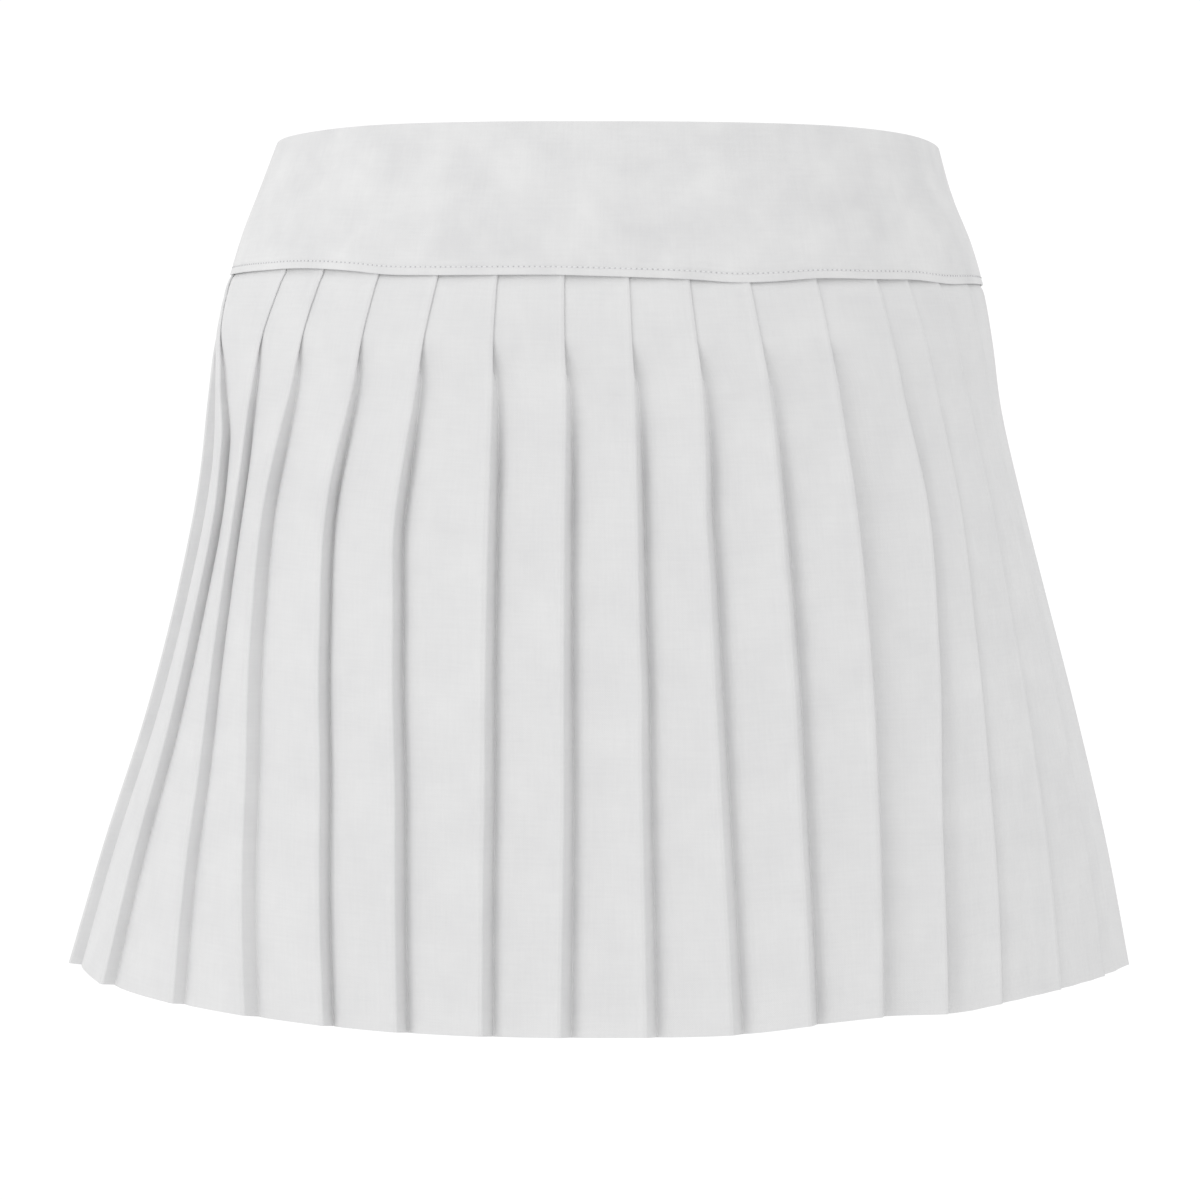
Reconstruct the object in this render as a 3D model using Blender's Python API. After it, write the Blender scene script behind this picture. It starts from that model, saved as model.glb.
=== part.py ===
"""A pleated tennis skirt, worn: a smooth hip yoke and two knife-pleated panels, hollow all through.

Metres, +Z up. The origin is the centre of the waist opening, level with the top of the yoke. The front
faces -Y and the wearer's left hip is at +X. Angles round the skirt run from the front centre, growing
towards +X. Every pleat is a one-way knife pleat: its panel rises to a sharp outer fold, a narrow return
goes back under that fold, and the next panel starts from the inner fold.
"""

import math
from collections import namedtuple

import bpy
import numpy as np

MM = 0.001

# Cloth
GAP = 0.3 * MM  # between two pieces at a seam
YOKE_WALL = 1.6 * MM  # two pressed layers
PLEAT_WALL = 1.0 * MM
FOLD_STEP = 1.5 * MM  # from the middle of one folded layer to the middle of the next
SEAM_TRIM = 1.0 * MM  # cut off a pleated panel's edge where it meets the other panel
CREASE_STEP = 0.7 * MM  # how wide the crease is where the fold has opened

# Heights on the side of the skirt
SEAM_HEIGHT = -58.0 * MM
HEM_HEIGHT = -346.0 * MM
UNDERLAP = 8.0 * MM  # pleated cloth that goes up under the yoke
UNDER_YOKE = YOKE_WALL + 2 * GAP  # how deep its outer folds lie there

# How far each edge dips below that height, and how far the seam leans
SEAM_DIP_FRONT = 5.0 * MM
SEAM_DIP_BACK = 2.0 * MM
HEM_DIP_FRONT = 8.0 * MM
HEM_DIP_BACK = 6.0 * MM
SEAM_LEAN = 2.4 * MM  # the seam is lower by this on the hip at +X, and higher on the other

# Plan sections are superellipses with this exponent, a little squarer than an ellipse
SQUARENESS = 2.2

# Shares of the length from the seam down to the hem
TUCK_SHARE = 0.045  # here the pleats stand as far out as the yoke does
SEWN_SHARE = 0.09  # the pleats are sewn down to here, and hang free below it
RELEASED_SHARE = 0.17  # here a return has swung open
GROWN_SHARE = 0.30  # and here it has its full width
SEWN_RETURN = 0.35  # share of its width that a return has where it is sewn down
CLIMB_REACH = 0.24  # share of the panel's width in which it climbs close to the inner fold

# A return that lies back flat under its panel has swung 180 degrees, and one that points straight in, 90
SEWN_SWING = 180.0

# Half widths and half depths of the outside of the skirt, by height
Section = namedtuple("Section", "height left right front back")
SECTIONS = (
    Section(0.000, 0.1380, 0.1406, 0.106, 0.101),
    Section(-0.020, 0.1453, 0.1463, 0.110, 0.106),
    Section(-0.040, 0.1527, 0.1542, 0.114, 0.112),
    Section(-0.058, 0.1579, 0.1593, 0.117, 0.118),
    Section(-0.080, 0.1638, 0.1630, 0.120, 0.123),
    Section(-0.108, 0.1673, 0.1665, 0.123, 0.128),
    Section(-0.142, 0.1711, 0.1737, 0.127, 0.132),
    Section(-0.185, 0.1795, 0.1842, 0.131, 0.136),
    Section(-0.240, 0.1938, 0.1988, 0.135, 0.141),
    Section(-0.295, 0.2119, 0.2123, 0.138, 0.145),
    Section(-0.346, 0.2272, 0.2225, 0.141, 0.148),
)

# Outer folds across the front: their angle at six heights, the return's width in millimetres, its swing
# in degrees where the fold has opened and at the hem, and the share of its depth in the pleat that the
# panel before the fold climbs close to its inner fold
FOLD_HEIGHTS = (-0.060, -0.100, -0.145, -0.200, -0.265, -0.346)
Fold = namedtuple("Fold", "seam hip seat thigh low hem back open swing climb")
FRONT_FOLDS = (
    Fold(-84.0, -72.0, -67.4, -67.0, -65.5, -63.6, 5.5, 122, 98, 0.0),
    Fold(-54.0, -57.8, -59.5, -58.2, -53.4, -47.9, 5.5, 112, 80, 0.1),
    Fold(-44.2, -47.2, -51.1, -49.4, -43.6, -36.9, 6.5, 92, 68, 0.25),
    Fold(-32.8, -34.9, -38.1, -36.3, -31.9, -27.0, 7.5, 93, 82, 0.3),
    Fold(-22.7, -24.5, -26.4, -25.1, -22.0, -18.9, 8.5, 88, 77, 0.4),
    Fold(-13.7, -13.6, -13.6, -13.0, -11.8, -10.5, 9.0, 79, 71, 0.4),
    Fold(-4.7, -4.3, -4.3, -4.1, -3.7, -3.5, 9.0, 76, 67, 0.4),
    Fold(2.5, 2.9, 3.0, 3.0, 3.0, 3.1, 9.0, 73, 65, 0.4),
    Fold(10.2, 11.3, 11.2, 11.0, 10.9, 11.0, 9.0, 67, 61, 0.4),
    Fold(18.8, 20.6, 20.8, 20.5, 19.6, 18.9, 9.0, 62, 62, 0.4),
    Fold(29.6, 31.5, 32.2, 31.2, 29.1, 26.8, 8.0, 62, 64, 0.4),
    Fold(41.2, 43.8, 45.5, 42.8, 38.4, 35.2, 5.5, 128, 118, 0.1),
    Fold(48.3, 51.8, 53.0, 50.5, 47.0, 43.2, 4.5, 164, 158, 0.0),
    Fold(57.0, 61.0, 62.5, 60.5, 57.5, 54.0, 4.5, 168, 164, 0.0),
)

# The other folds share out the rest of the way round, up to this angle, evenly, each off its place by
# this many millimetres at the seam and at the hem. The last ones follow the first front fold
SIDE_DEGREES = -66.0
Wander = namedtuple("Wander", "seam_off hem_off back open swing climb")
OTHER_FOLDS = (
    Wander(0.4, -1.5, 4.5, 166, 160, 0.0),
    Wander(-0.6, 0.5, 5.5, 150, 138, 0.1),
    Wander(0.2, 1.2, 7.0, 124, 108, 0.3),
    Wander(0.8, -1.0, 8.5, 103, 88, 0.5),
    Wander(-0.5, -2.2, 9.0, 86, 74, 0.5),
    Wander(-0.2, 1.5, 9.0, 78, 66, 0.5),
    Wander(0.7, 2.0, 9.5, 74, 62, 0.5),
    Wander(0.0, -0.8, 9.0, 76, 68, 0.5),
    Wander(-0.9, -1.6, 9.0, 70, 58, 0.5),
    Wander(0.3, 0.6, 9.0, 68, 54, 0.5),
    Wander(0.6, 2.4, 9.5, 70, 60, 0.5),
    Wander(-0.4, -0.4, 9.0, 74, 66, 0.5),
    Wander(-0.7, -1.8, 9.0, 70, 58, 0.5),
    Wander(0.5, 0.2, 8.5, 68, 55, 0.5),
    Wander(0.9, 1.4, 9.0, 72, 63, 0.5),
    Wander(-0.1, -1.2, 9.0, 76, 68, 0.5),
    Wander(-0.6, 0.8, 9.0, 78, 66, 0.5),
    Wander(0.2, 2.1, 9.0, 84, 74, 0.5),
    Wander(-0.7, -2.4, 7.5, 92, 80, 0.4),
    Wander(-2.5, -5.0, 6.0, 98, 86, 0.3),
    Wander(-5.0, -8.0, 5.0, 100, 90, 0.2),
    Wander(-9.0, -14.0, 4.5, 100, 90, 0.0),
)
PLEATS = len(FRONT_FOLDS) + len(OTHER_FOLDS)
FIRST_FRONT_PLEAT = -2  # the front panel's first pleat, counted from the first row above

# The waist edge's height off its even line, in millimetres, by angle
Rise = namedtuple("Rise", "degrees mm")
WAIST_RISE = (
    Rise(-90, -0.6), Rise(-75, -0.2), Rise(-60, 0.1), Rise(-42, 0.6), Rise(-20, 0.3), Rise(0, 0.0),
    Rise(20, 0.1), Rise(42, 0.1), Rise(60, -0.8), Rise(75, -2.2), Rise(90, -3.4), Rise(120, -2.2),
    Rise(150, -0.8), Rise(180, 0.0), Rise(210, 0.2), Rise(240, -0.1), Rise(270, -0.6),
)

# Rows of the pleated cloth, as shares of the length from the seam (0) to the hem (1)
TOP_SHARE = -UNDERLAP / (SEAM_HEIGHT - HEM_HEIGHT)
PLEAT_ROWS = (TOP_SHARE, 0.0, TUCK_SHARE, SEWN_SHARE, 0.13, RELEASED_SHARE, 0.23, GROWN_SHARE, 0.50, 0.75, 1.0)
YOKE_HEIGHTS = (-0.008, -0.024, -0.042)
YOKE_COLUMNS = 37


def through(knots, values, at):
    """A smooth curve through the rows: cubic pieces whose slope at a knot is that between its neighbours."""
    knots = np.asarray(knots, float)
    values = np.asarray(values, float)
    if knots[0] > knots[-1]:
        knots, values = knots[::-1], values[::-1]
    slopes = np.gradient(values, knots, axis=0)
    at = np.clip(np.asarray(at, float), knots[0], knots[-1])
    i = np.clip(np.searchsorted(knots, at, side="right") - 1, 0, len(knots) - 2)
    step = knots[i + 1] - knots[i]
    t = (at - knots[i]) / step
    start = (1 + 2 * t) * (1 - t) ** 2 * values[i] + t * (1 - t) ** 2 * step * slopes[i]
    return start + t * t * (3 - 2 * t) * values[i + 1] + t * t * (t - 1) * step * slopes[i + 1]


def ease(start, end, at):
    """0 before start, 1 after end, and a smooth step between them."""
    t = np.clip((np.asarray(at, float) - start) / (end - start), 0.0, 1.0)
    return t * t * (3 - 2 * t)


def outline(degrees, height):
    """The outside of the skirt in plan, at these angles and this height: four quarters of superellipses."""
    left, right, front, back = (
        float(through([row.height for row in SECTIONS], [getattr(row, side) for row in SECTIONS], height))
        for side in ("left", "right", "front", "back")
    )
    angle = np.radians(degrees)
    across, forward = np.sin(angle), np.cos(angle)
    power = 2.0 / SQUARENESS
    x = np.where(across > 0, right, left) * np.sign(across) * np.abs(across) ** power
    y = -np.where(forward > 0, front, back) * np.sign(forward) * np.abs(forward) ** power
    return np.stack([x, y], axis=-1)


class Girth:
    """The outline at one height, measured along its length from the front centre."""

    def __init__(self, height):
        self.degrees = np.linspace(-180.0, 360.0, 2161)
        points = outline(self.degrees, height)
        steps = np.linalg.norm(np.diff(points, axis=0), axis=1)
        lengths = np.concatenate([[0.0], np.cumsum(steps)])
        self.lengths = lengths - np.interp(0.0, self.degrees, lengths)
        along = np.gradient(points, self.lengths, axis=0)
        along /= np.linalg.norm(along, axis=1, keepdims=True)
        self.points = points
        self.inward = np.stack([-along[:, 1], along[:, 0]], axis=1)

    def length_at(self, degrees):
        return np.interp(degrees, self.degrees, self.lengths)

    def degrees_at(self, length):
        return np.interp(length, self.lengths, self.degrees)

    def place(self, length, depth):
        """The plan points that lie this far along the outline and this deep inside it."""
        point = np.stack([np.interp(length, self.lengths, self.points[:, k]) for k in (0, 1)], axis=-1)
        inward = np.stack([np.interp(length, self.lengths, self.inward[:, k]) for k in (0, 1)], axis=-1)
        inward /= np.linalg.norm(inward, axis=-1, keepdims=True)
        return point + inward * np.asarray(depth)[..., None]


def dip(degrees, front, back):
    """How far an edge is below its height on the hips: most at the front and back centres."""
    forward = np.cos(np.radians(degrees))
    return np.where(forward > 0, front, back) * forward**2


def waist_rise(degrees):
    wrapped = (np.asarray(degrees) + 90.0) % 360.0 - 90.0
    return through([row.degrees for row in WAIST_RISE], [row.mm for row in WAIST_RISE], wrapped) * MM


def yoke_height(degrees, height):
    """The yoke's rows turn from the waist edge's line to the seam's, which dips and leans."""
    share = height / SEAM_HEIGHT
    seam = -dip(degrees, SEAM_DIP_FRONT, SEAM_DIP_BACK) - SEAM_LEAN * np.sin(np.radians(degrees))
    return height + (1 - share) * waist_rise(degrees) + share * seam


def pleat_height(degrees, share):
    """The height of a row of the pleated cloth, between the seam's line and the hem's."""
    seam = yoke_height(degrees, SEAM_HEIGHT)
    hem = HEM_HEIGHT - dip(degrees, HEM_DIP_FRONT, HEM_DIP_BACK)
    return seam + (hem - seam) * share


def fold_lengths(girth, height):
    """Where every outer fold crosses this height, measured along the outline from the front centre."""
    table = [[fold[k] for fold in FRONT_FOLDS] for k in range(len(FOLD_HEIGHTS))]
    angles = through(FOLD_HEIGHTS, table, height)
    front = girth.length_at(angles)
    once_round = girth.length_at(270.0) - girth.length_at(-90.0)
    steps = np.arange(1, len(OTHER_FOLDS) + 1) / (len(OTHER_FOLDS) + 1)
    side = girth.length_at(SIDE_DEGREES)
    lower = (height - SEAM_HEIGHT) / (HEM_HEIGHT - SEAM_HEIGHT)
    wander = np.array([row.seam_off + (row.hem_off - row.seam_off) * lower for row in OTHER_FOLDS]) * MM
    others = front[-1] + (side + once_round - front[-1]) * steps + (front[0] - side) * steps**4 + wander
    return np.concatenate([front, others]), once_round


def run_of(column, first, count):
    """One column of both fold tables for this run of pleats, which may pass the last row and start again."""
    rows = FRONT_FOLDS + OTHER_FOLDS
    return np.array([getattr(rows[k % PLEATS], column) for k in range(first, first + count)], float)


def run_of_folds(first, count, girth, height):
    """The lengths at which a run of outer folds lies, going on past the end of the table round the skirt."""
    lengths, once_round = fold_lengths(girth, height)
    index = np.arange(first, first + count)
    return lengths[index % PLEATS] + once_round * (index // PLEATS)


def pleat_line(first, count, share):
    """The middle of the cloth on one row, in plan, for a run of pleats, and the angles of its points.

    Each pleat starts at the inner fold before it. It has a bend, the two edges of its outer fold, and
    the end of its own return, whose swing turns it from flat under the panel (180) towards pointing
    ahead (0). Closed layers lie side by side, and slope with their panel. Where the pleat has opened,
    the panel is bent close to the inner fold, and has climbed a share of its depth there.
    """
    height = SEAM_HEIGHT + (HEM_HEIGHT - SEAM_HEIGHT) * share
    girth = Girth(height)
    outer = run_of_folds(first - 1, count + 1, girth, height)
    released = ease(SEWN_SHARE, RELEASED_SHARE, share)
    settled = ease(RELEASED_SHARE, 1.0, share)
    grown = ease(SEWN_SHARE, GROWN_SHARE, share)
    back = run_of("back", first - 1, count + 1) * MM * (SEWN_RETURN + (1 - SEWN_RETURN) * grown)
    opened, at_hem = run_of("open", first - 1, count + 1), run_of("swing", first - 1, count + 1)
    swing = SEWN_SWING + (opened - SEWN_SWING) * released + (at_hem - opened) * settled
    spacing = np.diff(run_of_folds(first - 1, count + 2, girth, height))
    slope = (1 - released) * 2 * FOLD_STEP / spacing
    turn = np.radians(swing) - slope
    half_turn = np.radians(swing / 2) - slope
    step = CREASE_STEP + (FOLD_STEP - CREASE_STEP) * np.maximum(1 - released, ease(120.0, 160.0, swing))
    step = step[:, None] * np.stack([np.cos(half_turn), np.sin(half_turn)], axis=1)
    ends = step + back[:, None] * np.stack([np.cos(turn), np.sin(turn)], axis=1)
    starts = ends + step
    inner = outer + starts[:, 0]
    reach = outer[1:] - inner[:-1]
    at_bend = (1 - back[1:] / reach) * (1 - released) + CLIMB_REACH * released
    climb = 1 - run_of("climb", first, count) * released
    bend = inner[:-1] + reach * at_bend
    bend_depth = starts[:-1, 1] * (1 - at_bend) * climb
    flat = np.zeros(count)
    lengths = np.stack([inner[:-1], bend, outer[1:], outer[1:] + step[1:, 0], outer[1:] + ends[1:, 0]], axis=1)
    depths = np.stack([starts[:-1, 1], bend_depth, flat, step[1:, 1], ends[1:, 1]], axis=1)
    tuck = PLEAT_WALL / 2 + UNDER_YOKE * (1 - ease(0.0, TUCK_SHARE, share))
    lengths = lengths.ravel()
    return girth.place(lengths, depths.ravel() + tuck), girth.degrees_at(lengths)


def mitres(line):
    """At each point, the vector that shifts both of its edges outwards by one unit."""
    edges = np.diff(line, axis=0)
    edges /= np.linalg.norm(edges, axis=1, keepdims=True)
    normals = np.stack([edges[:, 1], -edges[:, 0]], axis=1)
    before = np.concatenate([normals[:1], normals])
    after = np.concatenate([normals, normals[-1:]])
    opening = 1 + (before * after).sum(axis=1, keepdims=True)
    return (before + after) / np.maximum(opening, 0.4)


def cloth_material(name, colour):
    material = bpy.data.materials.new(name)
    material.use_nodes = True
    shader = material.node_tree.nodes["Principled BSDF"]
    shader.inputs["Base Color"].default_value = (*colour, 1.0)
    shader.inputs["Roughness"].default_value = 0.85
    shader.inputs["Metallic"].default_value = 0.0
    material.diffuse_color = (*colour, 1.0)
    return material


def closed_strip(name, loops, material):
    """A solid carried through loops: loops[i] is a closed loop of points, and the first and last are capped."""
    count, size = loops.shape[:2]
    index = np.arange(count * size).reshape(count, size)
    here, there = index[:-1], index[1:]
    sides = np.stack([here, there, np.roll(there, -1, axis=1), np.roll(here, -1, axis=1)], axis=-1)
    rungs = [[k, k + 1, size - 2 - k, size - 1 - k] for k in range(size // 2 - 1)]
    if size % 2:
        rungs.append([size // 2 - 1, size // 2, size // 2 + 1])
    caps = [index[0][rung].tolist() for rung in rungs] + [index[-1][rung[::-1]].tolist() for rung in rungs]
    mesh = bpy.data.meshes.new(name)
    mesh.from_pydata(loops.reshape(-1, 3).tolist(), [], sides.reshape(-1, 4).tolist() + caps)
    mesh.materials.append(material)
    mesh.shade_smooth()
    mesh.set_sharp_from_angle(angle=math.radians(35))
    mesh.validate()
    piece = bpy.data.objects.new(name, mesh)
    bpy.context.scene.collection.objects.link(piece)
    return piece


def trimmed(line):
    """The line with a little cut off each end, so that two pieces stay apart in the fold where they meet."""
    ends = np.array([line[1] - line[0], line[-2] - line[-1]])
    ends *= SEAM_TRIM / np.linalg.norm(ends, axis=1, keepdims=True)
    return np.concatenate([line[:1] + ends[:1], line[1:-1], line[-1:] + ends[1:]])


def pleated_panel(name, first, count, material):
    """A wall of cloth round the pleated lines of all rows: up on its outside, down on its inside."""
    outside, inside = [], []
    for share in PLEAT_ROWS:
        line, degrees = pleat_line(first, count, share)
        line = trimmed(line)
        shift = mitres(line) * PLEAT_WALL / 2
        height = pleat_height(degrees, share)[:, None]
        outside.append(np.hstack([line + shift, height]))
        inside.append(np.hstack([line - shift, height]))
    loops = np.concatenate([np.array(outside)[::-1], np.array(inside)]).transpose(1, 0, 2)
    return closed_strip(name, loops, material)


def yoke_panel(name, start, end, material):
    """Half of the yoke between two side seams: a wall with a round top edge and a square lower one."""
    gap_degrees = math.degrees(GAP / 2 / SECTIONS[0].front)
    degrees = np.linspace(start + gap_degrees, end - gap_degrees, YOKE_COLUMNS)
    roll = YOKE_WALL / 2
    profile = [(SEAM_HEIGHT, 0.0)]
    profile += [(height, 0.0) for height in reversed(YOKE_HEIGHTS)]
    profile += [(-roll * (1 - math.sin(a)), roll * (1 - math.cos(a))) for a in np.radians((0, 45, 90, 135, 180))]
    profile += [(height, YOKE_WALL) for height in YOKE_HEIGHTS]
    profile += [(SEAM_HEIGHT, YOKE_WALL)]
    columns = []
    for height, depth in profile:
        girth = Girth(height)
        plan = girth.place(girth.length_at(degrees), np.full(len(degrees), depth))
        columns.append(np.hstack([plan, yoke_height(degrees, height)[:, None]]))
    return closed_strip(name, np.array(columns).transpose(1, 0, 2), material)


def clear_scene():
    for thing in list(bpy.data.objects):
        bpy.data.objects.remove(thing, do_unlink=True)


def main():
    clear_scene()
    white = cloth_material("white_cloth", (0.80, 0.80, 0.80))
    half = PLEATS // 2
    pleated_panel("skirt_front", FIRST_FRONT_PLEAT, half, white)
    pleated_panel("skirt_back", FIRST_FRONT_PLEAT + half, half, white)
    yoke_panel("yoke_front", -90.0, 90.0, white)
    yoke_panel("yoke_back", 90.0, 270.0, white)


main()
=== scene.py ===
"""Looks of the pleated tennis skirt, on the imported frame.

Metres, +Z up. The origin is the centre of the waist opening. The front faces -Y and the wearer's left hip
is at +X. Angles round the skirt run from the front centre, growing towards +X. Plan shape, edges and folds
come from the same driving sizes as the frame; this script folds thin cloth along them, with rounded
creases, a turned yoke edge, soft creases and stitches.
"""
import math
from collections import namedtuple

import bpy
import mathutils
import numpy as np
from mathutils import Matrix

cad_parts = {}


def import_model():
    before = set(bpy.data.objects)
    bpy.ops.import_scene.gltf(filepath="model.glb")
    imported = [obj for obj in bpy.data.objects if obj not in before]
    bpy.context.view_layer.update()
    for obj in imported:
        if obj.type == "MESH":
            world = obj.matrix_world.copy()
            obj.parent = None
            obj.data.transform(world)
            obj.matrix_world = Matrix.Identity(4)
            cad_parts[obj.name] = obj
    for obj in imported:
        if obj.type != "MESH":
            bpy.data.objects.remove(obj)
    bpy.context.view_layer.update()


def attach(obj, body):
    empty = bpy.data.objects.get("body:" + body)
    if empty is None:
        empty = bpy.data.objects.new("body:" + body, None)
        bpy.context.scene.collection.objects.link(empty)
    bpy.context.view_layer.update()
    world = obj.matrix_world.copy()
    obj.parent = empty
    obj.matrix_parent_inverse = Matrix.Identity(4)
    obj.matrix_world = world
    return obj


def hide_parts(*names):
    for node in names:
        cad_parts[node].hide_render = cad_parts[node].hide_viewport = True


MM = 0.001

# Cloth
CLOTH = 0.45 * MM  # one layer of pleated cloth
LAYER_STEP = 0.62 * MM  # from the middle of one folded layer to the middle of the next
SEWN_STEP = 0.48 * MM  # the same where the stitching presses them together
YOKE_CLOTH = 0.9 * MM  # two layers with their turnings, pressed
YOKE_EDGE = 0.3 * MM  # radius of the yoke's turned lower edge
SEWN_EDGE = 0.32 * MM  # how proud a fold's pressed edge stands where the pleat is sewn down
OPEN_EDGE = 0.42 * MM
EDGE_BACK = 0.9 * MM  # from the fold to the middle of that edge
EDGE_WIDTH = 0.7 * MM

# Heights on the side of the skirt
SEAM_HEIGHT = -58.0 * MM
HEM_HEIGHT = -346.0 * MM
UNDERLAP = 7.0 * MM
UNDER_YOKE = YOKE_CLOTH + 0.15 * MM

SEAM_DIP_FRONT = 5.0 * MM
SEAM_DIP_BACK = 2.0 * MM
HEM_DIP_FRONT = 8.0 * MM
HEM_DIP_BACK = 6.0 * MM
SEAM_LEAN = 2.4 * MM  # the seam is lower by this on the hip at +X, and higher on the other
SQUARENESS = 2.2

# Shares of the length from the seam down to the hem
TUCK_SHARE = 0.01  # here the pleats stand as far out as the yoke does
SEWN_SHARE = 0.075  # the pleats are sewn down to here
RELEASED_SHARE = 0.145  # here a return has swung open
GROWN_SHARE = 0.28  # and here it shows its full width
CLIMB_REACH = 0.19  # share of the panel's width in which it climbs close to the inner fold
HOLLOW = 0.5 * MM  # how hollow an open panel is
HEM_DROP = 0.14  # at the hem the cloth hangs lower by this share of its depth in the pleat
SWELL_SHARE = 0.35  # the broad swells have grown to their full depth here
PUCKER_SHARE = 0.02  # the seam's puckers are deepest here
PUCKER_END_SHARE = 0.09  # and have faded away here
DROP_SHARE = 0.85  # the hem's drop starts here
FINE_SHARE = 0.30  # the rows lie closer together above this
SEWN_SWING = 180.0
SEWN_RETURN = 0.3  # share of its width that a return has where it is sewn down
HOLLOW_SCALE = 6.75  # makes the highest value of t*t*(1-t) equal to 1
RIDGE_FADE = 0.03  # a soft ridge fades out over this length
SHARP_DEGREES = 50

Section = namedtuple("Section", "height left right front back")
SECTIONS = (
    Section(0.000, 0.1380, 0.1406, 0.106, 0.101),
    Section(-0.020, 0.1453, 0.1463, 0.110, 0.106),
    Section(-0.040, 0.1527, 0.1542, 0.114, 0.112),
    Section(-0.058, 0.1579, 0.1593, 0.117, 0.118),
    Section(-0.080, 0.1638, 0.1630, 0.120, 0.123),
    Section(-0.108, 0.1673, 0.1665, 0.123, 0.128),
    Section(-0.142, 0.1711, 0.1737, 0.127, 0.132),
    Section(-0.185, 0.1795, 0.1842, 0.131, 0.136),
    Section(-0.240, 0.1938, 0.1988, 0.135, 0.141),
    Section(-0.295, 0.2119, 0.2123, 0.138, 0.145),
    Section(-0.346, 0.2272, 0.2225, 0.141, 0.148),
)

# Outer folds across the front: their angle at six heights, the return's width in millimetres, its swing
# in degrees where the fold has opened and at the hem, and the share of its depth in the pleat that the
# panel before the fold climbs close to its inner fold
FOLD_HEIGHTS = (-0.060, -0.100, -0.145, -0.200, -0.265, -0.346)
Fold = namedtuple("Fold", "seam hip seat thigh low hem back open swing climb")
FRONT_FOLDS = (
    Fold(-84.0, -72.0, -67.4, -67.0, -65.5, -63.6, 5.5, 122, 98, 0.0),
    Fold(-54.0, -57.8, -59.5, -58.2, -53.4, -47.9, 5.5, 112, 80, 0.1),
    Fold(-44.2, -47.2, -51.1, -49.4, -43.6, -36.9, 6.5, 92, 68, 0.25),
    Fold(-32.8, -34.9, -38.1, -36.3, -31.9, -27.0, 7.5, 93, 82, 0.3),
    Fold(-22.7, -24.5, -26.4, -25.1, -22.0, -18.9, 8.5, 88, 77, 0.4),
    Fold(-13.7, -13.6, -13.6, -13.0, -11.8, -10.5, 9.0, 79, 71, 0.4),
    Fold(-4.7, -4.3, -4.3, -4.1, -3.7, -3.5, 9.0, 76, 67, 0.4),
    Fold(2.5, 2.9, 3.0, 3.0, 3.0, 3.1, 9.0, 73, 65, 0.4),
    Fold(10.2, 11.3, 11.2, 11.0, 10.9, 11.0, 9.0, 67, 61, 0.4),
    Fold(18.8, 20.6, 20.8, 20.5, 19.6, 18.9, 9.0, 62, 62, 0.4),
    Fold(29.6, 31.5, 32.2, 31.2, 29.1, 26.8, 8.0, 62, 64, 0.4),
    Fold(41.2, 43.8, 45.5, 42.8, 38.4, 35.2, 5.5, 128, 118, 0.1),
    Fold(48.3, 51.8, 53.0, 50.5, 47.0, 43.2, 4.5, 164, 158, 0.0),
    Fold(57.0, 61.0, 62.5, 60.5, 57.5, 54.0, 4.5, 168, 164, 0.0),
)

# The other folds share out the rest of the way round, up to this angle, evenly, each off its place by
# this many millimetres at the seam and at the hem. The last ones follow the first front fold
SIDE_DEGREES = -66.0
Wander = namedtuple("Wander", "seam_off hem_off back open swing climb")
OTHER_FOLDS = (
    Wander(0.4, -1.5, 4.5, 166, 160, 0.0),
    Wander(-0.6, 0.5, 5.5, 150, 138, 0.1),
    Wander(0.2, 1.2, 7.0, 124, 108, 0.3),
    Wander(0.8, -1.0, 8.5, 103, 88, 0.5),
    Wander(-0.5, -2.2, 9.0, 86, 74, 0.5),
    Wander(-0.2, 1.5, 9.0, 78, 66, 0.5),
    Wander(0.7, 2.0, 9.5, 74, 62, 0.5),
    Wander(0.0, -0.8, 9.0, 76, 68, 0.5),
    Wander(-0.9, -1.6, 9.0, 70, 58, 0.5),
    Wander(0.3, 0.6, 9.0, 68, 54, 0.5),
    Wander(0.6, 2.4, 9.5, 70, 60, 0.5),
    Wander(-0.4, -0.4, 9.0, 74, 66, 0.5),
    Wander(-0.7, -1.8, 9.0, 70, 58, 0.5),
    Wander(0.5, 0.2, 8.5, 68, 55, 0.5),
    Wander(0.9, 1.4, 9.0, 72, 63, 0.5),
    Wander(-0.1, -1.2, 9.0, 76, 68, 0.5),
    Wander(-0.6, 0.8, 9.0, 78, 66, 0.5),
    Wander(0.2, 2.1, 9.0, 84, 74, 0.5),
    Wander(-0.7, -2.4, 7.5, 92, 80, 0.4),
    Wander(-2.5, -5.0, 6.0, 98, 86, 0.3),
    Wander(-5.0, -8.0, 5.0, 100, 90, 0.2),
    Wander(-9.0, -14.0, 4.5, 100, 90, 0.0),
)
PLEATS = len(FRONT_FOLDS) + len(OTHER_FOLDS)
FIRST_FRONT_PLEAT = -2

# Kinks in the line of an outer fold: which fold, at what height, how long and how far to the side
Kink = namedtuple("Kink", "fold height reach_mm aside_mm")
KINKS = (
    Kink(0, -0.104, 9, -1.6),
    Kink(0, -0.124, 9, 1.6),
    Kink(4, -0.158, 16, -0.7),
    Kink(8, -0.150, 14, -0.6),
    Kink(7, -0.215, 18, 0.5),
)

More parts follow.
